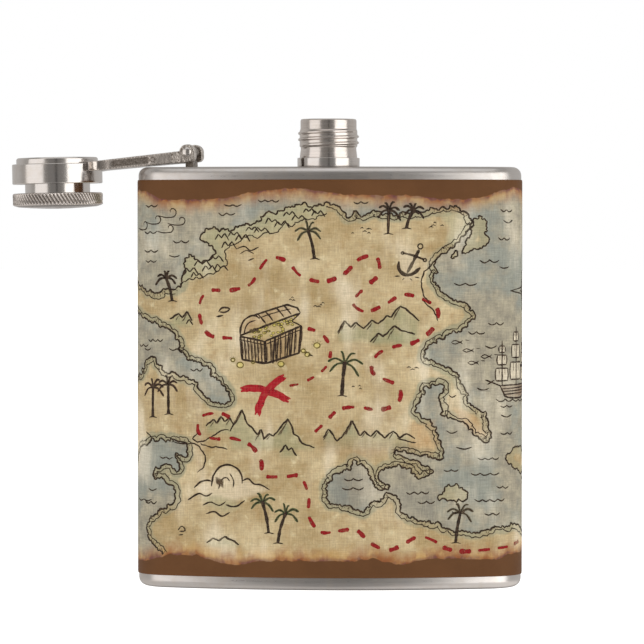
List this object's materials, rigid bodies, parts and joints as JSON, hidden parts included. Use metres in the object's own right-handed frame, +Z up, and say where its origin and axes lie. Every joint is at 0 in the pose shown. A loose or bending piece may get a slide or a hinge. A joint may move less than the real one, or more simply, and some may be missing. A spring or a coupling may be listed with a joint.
{
  "type": "hip flask",
  "caption": "Curved pocket flask with a printed wrap round its body, a threaded neck, and a knurled screw cap held captive on a hinged arm.",
  "frame": {"origin": "where the neck's axis meets the flat underside of the base", "axes": "+Z up along the neck, -Y out of the bulging printed side, +X away from the hinge, towards the plain end of the shoulder"},
  "size_m": [0.1256, 0.0341, 0.1138],
  "materials": {
    "satin_steel": "fine brushed along the edge",
    "polished_steel": "turned and polished",
    "cast_steel": "tumbled investment casting, slightly pitted",
    "printed_wrap": "matt, linen-grained coated wrap with a printed chart between two brown bands",
    "seal": "matt silicone"
  },
  "bodies": {
    "flask": {"base_plate": "satin_steel", "body_wall": "satin_steel", "shoulder_plate": "satin_steel", "printed_wrap": "printed_wrap", "neck_spout": "polished_steel", "neck_collar": "polished_steel", "hinge_post": "cast_steel"},
    "arm": {"hinge_pin": "polished_steel", "hinge_clevis": "cast_steel", "arm_strap": "cast_steel", "arm_collar": "polished_steel"},
    "cap_seal": {"cap_gasket": "seal"},
    "cap": {"cap_head": "polished_steel", "cap_barrel": "polished_steel"}
  },
  "joints": [
    {"name": "arm_hinge", "type": "hinge", "parent": "flask", "child": "arm", "pos_m": [-0.0338, 0.0062, 0.10585], "axis": [0.1804, 0.9836, 0], "range_deg": [0, 181.1]},
    {"name": "cap_travel", "type": "slide", "parent": "arm", "child": "cap_seal", "axis": [-0.0189, 0.0035, 0.9998], "range_m": [0, 0.0021]},
    {"name": "cap_turn", "type": "hinge", "parent": "cap_seal", "child": "cap", "pos_m": [-0.06742, 0.01237, 0.09619], "axis": [-0.0189, 0.0035, 0.9998], "continuous": true}
  ]
}
